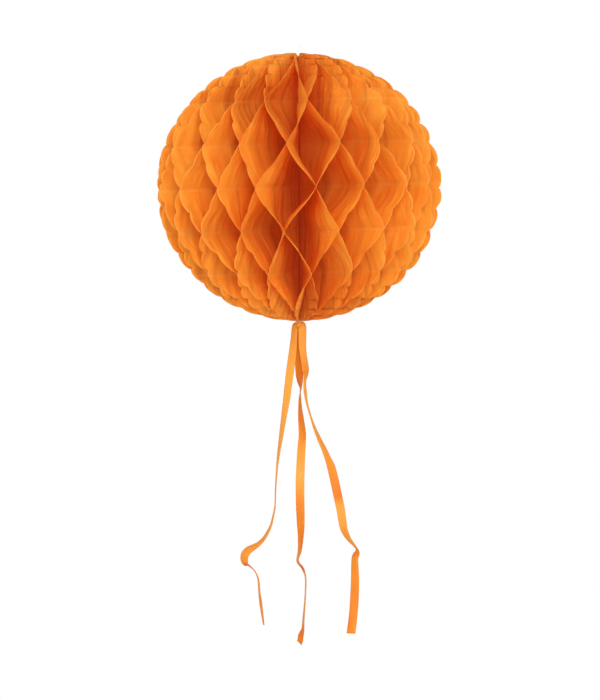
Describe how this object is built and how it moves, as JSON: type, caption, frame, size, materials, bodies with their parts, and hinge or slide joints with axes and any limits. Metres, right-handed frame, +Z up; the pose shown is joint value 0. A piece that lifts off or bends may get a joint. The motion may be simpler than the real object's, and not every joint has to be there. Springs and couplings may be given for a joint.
{
  "type": "paper honeycomb ball",
  "caption": "Hanging tissue-paper honeycomb ball with scalloped leaves that fold like a fan about a spine, and three long paper ribbons below.",
  "frame": {"origin": "the hanging point, inside the top of the hanging loop, on the ball's axis", "axes": "+Z up along the ball's axis and spine; -Y is the front, opposite the seam where the two cover boards meet; +X to the right seen from the front"},
  "size_m": [0.2985, 0.2985, 0.6666],
  "materials": {
    "tissue": "matt dyed tissue paper, slightly translucent, fine pleats",
    "ribbon": "soft satin paper ribbon with fine lengthwise grain",
    "cover_board": "thin dyed card, matt",
    "tape": "double-sided adhesive pad",
    "thread": "twisted cotton thread",
    "filament": "clear nylon filament"
  },
  "bodies": {
    "loop": {"hanging_loop": "filament"},
    "knot": {"top_knot": "filament"},
    "core": {"spine_thread": "thread", "bottom_knot": "thread", "ribbon_tie": "thread"},
    "board_b": {"cover_board_b": "cover_board"},
    "board_a": {"cover_board_a": "cover_board", "closing_tape": "tape"},
    "leaf_01": {"tissue_leaf_01": "tissue"},
    "leaf_02": {"tissue_leaf_02": "tissue"},
    "leaf_03": {"tissue_leaf_03": "tissue"},
    "leaf_04": {"tissue_leaf_04": "tissue"},
    "leaf_05": {"tissue_leaf_05": "tissue"},
    "leaf_06": {"tissue_leaf_06": "tissue"},
    "leaf_07": {"tissue_leaf_07": "tissue"},
    "leaf_08": {"tissue_leaf_08": "tissue"},
    "leaf_09": {"tissue_leaf_09": "tissue"},
    "leaf_10": {"tissue_leaf_10": "tissue"},
    "leaf_11": {"tissue_leaf_11": "tissue"},
    "leaf_12": {"tissue_leaf_12": "tissue"},
    "leaf_13": {"tissue_leaf_13": "tissue"},
    "leaf_14": {"tissue_leaf_14": "tissue"},
    "leaf_15": {"tissue_leaf_15": "tissue"},
    "leaf_16": {"tissue_leaf_16": "tissue"},
    "leaf_17": {"tissue_leaf_17": "tissue"},
    "leaf_18": {"tissue_leaf_18": "tissue"},
    "leaf_19": {"tissue_leaf_19": "tissue"},
    "leaf_20": {"tissue_leaf_20": "tissue"},
    "leaf_21": {"tissue_leaf_21": "tissue"},
    "leaf_22": {"tissue_leaf_22": "tissue"},
    "leaf_23": {"tissue_leaf_23": "tissue"},
    "leaf_24": {"tissue_leaf_24": "tissue"},
    "leaf_25": {"tissue_leaf_25": "tissue"},
    "leaf_26": {"tissue_leaf_26": "tissue"},
    "leaf_27": {"tissue_leaf_27": "tissue"},
    "leaf_28": {"tissue_leaf_28": "tissue"},
    "leaf_29": {"tissue_leaf_29": "tissue"},
    "leaf_30": {"tissue_leaf_30": "tissue"},
    "leaf_31": {"tissue_leaf_31": "tissue"},
    "leaf_32": {"tissue_leaf_32": "tissue"},
    "leaf_33": {"tissue_leaf_33": "tissue"},
    "leaf_34": {"tissue_leaf_34": "tissue"},
    "leaf_35": {"tissue_leaf_35": "tissue"},
    "leaf_36": {"tissue_leaf_36": "tissue"},
    "ribbon_left": {"ribbon_left": "ribbon"},
    "ribbon_centre": {"ribbon_centre": "ribbon"},
    "ribbon_right": {"ribbon_right": "ribbon"}
  },
  "joints": [
    {"name": "ball_spin", "type": "hinge", "parent": "loop", "child": "knot", "pos_m": [0, 0, -0.034], "axis": [0, 0, 1], "continuous": true},
    {"name": "ball_swing", "type": "hinge", "parent": "knot", "child": "core", "pos_m": [0, 0, -0.034], "axis": [0, 1, 0], "range_deg": [-30, 30]},
    {"name": "fan_fold", "type": "hinge", "parent": "core", "child": "board_b", "pos_m": [0, 0, -0.18], "axis": [0, 0, 1], "range_deg": [-176, 0]},
    {"name": "fold_board_a", "type": "hinge", "parent": "core", "child": "board_a", "pos_m": [0, 0, -0.18], "axis": [0, 0, 1], "range_deg": [0, 176]},
    {"name": "fold_leaf_01", "type": "hinge", "parent": "core", "child": "leaf_01", "pos_m": [0, 0, -0.18], "axis": [0, 0, 1], "range_deg": [0, 171.27], "deforming": ["tissue_leaf_01"]},
    {"name": "fold_leaf_02", "type": "hinge", "parent": "core", "child": "leaf_02", "pos_m": [0, 0, -0.18], "axis": [0, 0, 1], "range_deg": [0, 161.39], "deforming": ["tissue_leaf_02"]},
    {"name": "fold_leaf_03", "type": "hinge", "parent": "core", "child": "leaf_03", "pos_m": [0, 0, -0.18], "axis": [0, 0, 1], "range_deg": [0, 151.66], "deforming": ["tissue_leaf_03"]},
    {"name": "fold_leaf_04", "type": "hinge", "parent": "core", "child": "leaf_04", "pos_m": [0, 0, -0.18], "axis": [0, 0, 1], "range_deg": [0, 141.84], "deforming": ["tissue_leaf_04"]},
    {"name": "fold_leaf_05", "type": "hinge", "parent": "core", "child": "leaf_05", "pos_m": [0, 0, -0.18], "axis": [0, 0, 1], "range_deg": [0, 131.96], "deforming": ["tissue_leaf_05"]},
    {"name": "fold_leaf_06", "type": "hinge", "parent": "core", "child": "leaf_06", "pos_m": [0, 0, -0.18], "axis": [0, 0, 1], "range_deg": [0, 122.33], "deforming": ["tissue_leaf_06"]},
    {"name": "fold_leaf_07", "type": "hinge", "parent": "core", "child": "leaf_07", "pos_m": [0, 0, -0.18], "axis": [0, 0, 1], "range_deg": [0, 112.31], "deforming": ["tissue_leaf_07"]},
    {"name": "fold_leaf_08", "type": "hinge", "parent": "core", "child": "leaf_08", "pos_m": [0, 0, -0.18], "axis": [0, 0, 1], "range_deg": [0, 102.48], "deforming": ["tissue_leaf_08"]},
    {"name": "fold_leaf_09", "type": "hinge", "parent": "core", "child": "leaf_09", "pos_m": [0, 0, -0.18], "axis": [0, 0, 1], "range_deg": [0, 92.85], "deforming": ["tissue_leaf_09"]},
    {"name": "fold_leaf_10", "type": "hinge", "parent": "core", "child": "leaf_10", "pos_m": [0, 0, -0.18], "axis": [0, 0, 1], "range_deg": [0, 83.37], "deforming": ["tissue_leaf_10"]},
    {"name": "fold_leaf_11", "type": "hinge", "parent": "core", "child": "leaf_11", "pos_m": [0, 0, -0.18], "axis": [0, 0, 1], "range_deg": [0, 73.83], "deforming": ["tissue_leaf_11"]},
    {"name": "fold_leaf_12", "type": "hinge", "parent": "core", "child": "leaf_12", "pos_m": [0, 0, -0.18], "axis": [0, 0, 1], "range_deg": [0, 64.1], "deforming": ["tissue_leaf_12"]},
    {"name": "fold_leaf_13", "type": "hinge", "parent": "core", "child": "leaf_13", "pos_m": [0, 0, -0.18], "axis": [0, 0, 1], "range_deg": [0, 54.23], "deforming": ["tissue_leaf_13"]},
    {"name": "fold_leaf_14", "type": "hinge", "parent": "core", "child": "leaf_14", "pos_m": [0, 0, -0.18], "axis": [0, 0, 1], "range_deg": [0, 44.45], "deforming": ["tissue_leaf_14"]},
    {"name": "fold_leaf_15", "type": "hinge", "parent": "core", "child": "leaf_15", "pos_m": [0, 0, -0.18], "axis": [0, 0, 1], "range_deg": [0, 35.21], "deforming": ["tissue_leaf_15"]},
    {"name": "fold_leaf_16", "type": "hinge", "parent": "core", "child": "leaf_16", "pos_m": [0, 0, -0.18], "axis": [0, 0, 1], "range_deg": [0, 26.36], "deforming": ["tissue_leaf_16"]},
    {"name": "fold_leaf_17", "type": "hinge", "parent": "core", "child": "leaf_17", "pos_m": [0, 0, -0.18], "axis": [0, 0, 1], "range_deg": [0, 16], "deforming": ["tissue_leaf_17"]},
    {"name": "fold_leaf_18", "type": "hinge", "parent": "core", "child": "leaf_18", "pos_m": [0, 0, -0.18], "axis": [0, 0, 1], "range_deg": [0, 4.41], "deforming": ["tissue_leaf_18"]},
    {"name": "fold_leaf_19", "type": "hinge", "parent": "core", "child": "leaf_19", "pos_m": [0, 0, -0.18], "axis": [0, 0, 1], "range_deg": [-6.37, 0], "deforming": ["tissue_leaf_19"]},
    {"name": "fold_leaf_20", "type": "hinge", "parent": "core", "child": "leaf_20", "pos_m": [0, 0, -0.18], "axis": [0, 0, 1], "range_deg": [-16.83, 0], "deforming": ["tissue_leaf_20"]},
    {"name": "fold_leaf_21", "type": "hinge", "parent": "core", "child": "leaf_21", "pos_m": [0, 0, -0.18], "axis": [0, 0, 1], "range_deg": [-26.65, 0], "deforming": ["tissue_leaf_21"]},
    {"name": "fold_leaf_22", "type": "hinge", "parent": "core", "child": "leaf_22", "pos_m": [0, 0, -0.18], "axis": [0, 0, 1], "range_deg": [-36.33, 0], "deforming": ["tissue_leaf_22"]},
    {"name": "fold_leaf_23", "type": "hinge", "parent": "core", "child": "leaf_23", "pos_m": [0, 0, -0.18], "axis": [0, 0, 1], "range_deg": [-45.43, 0], "deforming": ["tissue_leaf_23"]},
    {"name": "fold_leaf_24", "type": "hinge", "parent": "core", "child": "leaf_24", "pos_m": [0, 0, -0.18], "axis": [0, 0, 1], "range_deg": [-53.84, 0], "deforming": ["tissue_leaf_24"]},
    {"name": "fold_leaf_25", "type": "hinge", "parent": "core", "child": "leaf_25", "pos_m": [0, 0, -0.18], "axis": [0, 0, 1], "range_deg": [-62.64, 0], "deforming": ["tissue_leaf_25"]},
    {"name": "fold_leaf_26", "type": "hinge", "parent": "core", "child": "leaf_26", "pos_m": [0, 0, -0.18], "axis": [0, 0, 1], "range_deg": [-72.12, 0], "deforming": ["tissue_leaf_26"]},
    {"name": "fold_leaf_27", "type": "hinge", "parent": "core", "child": "leaf_27", "pos_m": [0, 0, -0.18], "axis": [0, 0, 1], "range_deg": [-82.44, 0], "deforming": ["tissue_leaf_27"]},
    {"name": "fold_leaf_28", "type": "hinge", "parent": "core", "child": "leaf_28", "pos_m": [0, 0, -0.18], "axis": [0, 0, 1], "range_deg": [-92.85, 0], "deforming": ["tissue_leaf_28"]},
    {"name": "fold_leaf_29", "type": "hinge", "parent": "core", "child": "leaf_29", "pos_m": [0, 0, -0.18], "axis": [0, 0, 1], "range_deg": [-102.73, 0], "deforming": ["tissue_leaf_29"]},
    {"name": "fold_leaf_30", "type": "hinge", "parent": "core", "child": "leaf_30", "pos_m": [0, 0, -0.18], "axis": [0, 0, 1], "range_deg": [-112.41, 0], "deforming": ["tissue_leaf_30"]},
    {"name": "fold_leaf_31", "type": "hinge", "parent": "core", "child": "leaf_31", "pos_m": [0, 0, -0.18], "axis": [0, 0, 1], "range_deg": [-122.09, 0], "deforming": ["tissue_leaf_31"]},
    {"name": "fold_leaf_32", "type": "hinge", "parent": "core", "child": "leaf_32", "pos_m": [0, 0, -0.18], "axis": [0, 0, 1], "range_deg": [-131.96, 0], "deforming": ["tissue_leaf_32"]},
    {"name": "fold_leaf_33", "type": "hinge", "parent": "core", "child": "leaf_33", "pos_m": [0, 0, -0.18], "axis": [0, 0, 1], "range_deg": [-142.03, 0], "deforming": ["tissue_leaf_33"]},
    {"name": "fold_leaf_34", "type": "hinge", "parent": "core", "child": "leaf_34", "pos_m": [0, 0, -0.18], "axis": [0, 0, 1], "range_deg": [-151.57, 0], "deforming": ["tissue_leaf_34"]},
    {"name": "fold_leaf_35", "type": "hinge", "parent": "core", "child": "leaf_35", "pos_m": [0, 0, -0.18], "axis": [0, 0, 1], "range_deg": [-161.29, 0], "deforming": ["tissue_leaf_35"]},
    {"name": "fold_leaf_36", "type": "hinge", "parent": "core", "child": "leaf_36", "pos_m": [0, 0, -0.18], "axis": [0, 0, 1], "range_deg": [-171.17, 0], "deforming": ["tissue_leaf_36"]},
    {"name": "ribbon_left_swing", "type": "hinge", "parent": "core", "child": "ribbon_left", "pos_m": [-0.0011, 0, -0.3219], "axis": [0, 1, 0], "range_deg": [0, 25]},
    {"name": "ribbon_centre_swing", "type": "hinge", "parent": "core", "child": "ribbon_centre", "pos_m": [0, 0.001, -0.3219], "axis": [1, 0, 0], "range_deg": [0, 25]},
    {"name": "ribbon_right_swing", "type": "hinge", "parent": "core", "child": "ribbon_right", "pos_m": [0.0011, -0.001, -0.3219], "axis": [0, 1, 0], "range_deg": [-25, 0]}
  ],
  "couplings": [
    {"joint": "fold_board_a", "follows": "fan_fold", "ratio": -1},
    {"joint": "fold_leaf_01", "follows": "fan_fold", "ratio": -0.97306},
    {"joint": "fold_leaf_02", "follows": "fan_fold", "ratio": -0.91694},
    {"joint": "fold_leaf_03", "follows": "fan_fold", "ratio": -0.86167},
    {"joint": "fold_leaf_04", "follows": "fan_fold", "ratio": -0.80583},
    {"joint": "fold_leaf_05", "follows": "fan_fold", "ratio": -0.74972},
    {"joint": "fold_leaf_06", "follows": "fan_fold", "ratio": -0.695},
    {"joint": "fold_leaf_07", "follows": "fan_fold", "ratio": -0.63806},
    {"joint": "fold_leaf_08", "follows": "fan_fold", "ratio": -0.58222},
    {"joint": "fold_leaf_09", "follows": "fan_fold", "ratio": -0.5275},
    {"joint": "fold_leaf_10", "follows": "fan_fold", "ratio": -0.47361},
    {"joint": "fold_leaf_11", "follows": "fan_fold", "ratio": -0.41944},
    {"joint": "fold_leaf_12", "follows": "fan_fold", "ratio": -0.36417},
    {"joint": "fold_leaf_13", "follows": "fan_fold", "ratio": -0.30806},
    {"joint": "fold_leaf_14", "follows": "fan_fold", "ratio": -0.2525},
    {"joint": "fold_leaf_15", "follows": "fan_fold", "ratio": -0.2},
    {"joint": "fold_leaf_16", "follows": "fan_fold", "ratio": -0.14972},
    {"joint": "fold_leaf_17", "follows": "fan_fold", "ratio": -0.090833},
    {"joint": "fold_leaf_18", "follows": "fan_fold", "ratio": -0.025},
    {"joint": "fold_leaf_19", "follows": "fan_fold", "ratio": 0.036111},
    {"joint": "fold_leaf_20", "follows": "fan_fold", "ratio": 0.095556},
    {"joint": "fold_leaf_21", "follows": "fan_fold", "ratio": 0.15139},
    {"joint": "fold_leaf_22", "follows": "fan_fold", "ratio": 0.20639},
    {"joint": "fold_leaf_23", "follows": "fan_fold", "ratio": 0.25806},
    {"joint": "fold_leaf_24", "follows": "fan_fold", "ratio": 0.30583},
    {"joint": "fold_leaf_25", "follows": "fan_fold", "ratio": 0.35583},
    {"joint": "fold_leaf_26", "follows": "fan_fold", "ratio": 0.40972},
    {"joint": "fold_leaf_27", "follows": "fan_fold", "ratio": 0.46833},
    {"joint": "fold_leaf_28", "follows": "fan_fold", "ratio": 0.5275},
    {"joint": "fold_leaf_29", "follows": "fan_fold", "ratio": 0.58361},
    {"joint": "fold_leaf_30", "follows": "fan_fold", "ratio": 0.63861},
    {"joint": "fold_leaf_31", "follows": "fan_fold", "ratio": 0.69361},
    {"joint": "fold_leaf_32", "follows": "fan_fold", "ratio": 0.74972},
    {"joint": "fold_leaf_33", "follows": "fan_fold", "ratio": 0.80694},
    {"joint": "fold_leaf_34", "follows": "fan_fold", "ratio": 0.86111},
    {"joint": "fold_leaf_35", "follows": "fan_fold", "ratio": 0.91639},
    {"joint": "fold_leaf_36", "follows": "fan_fold", "ratio": 0.9725}
  ]
}
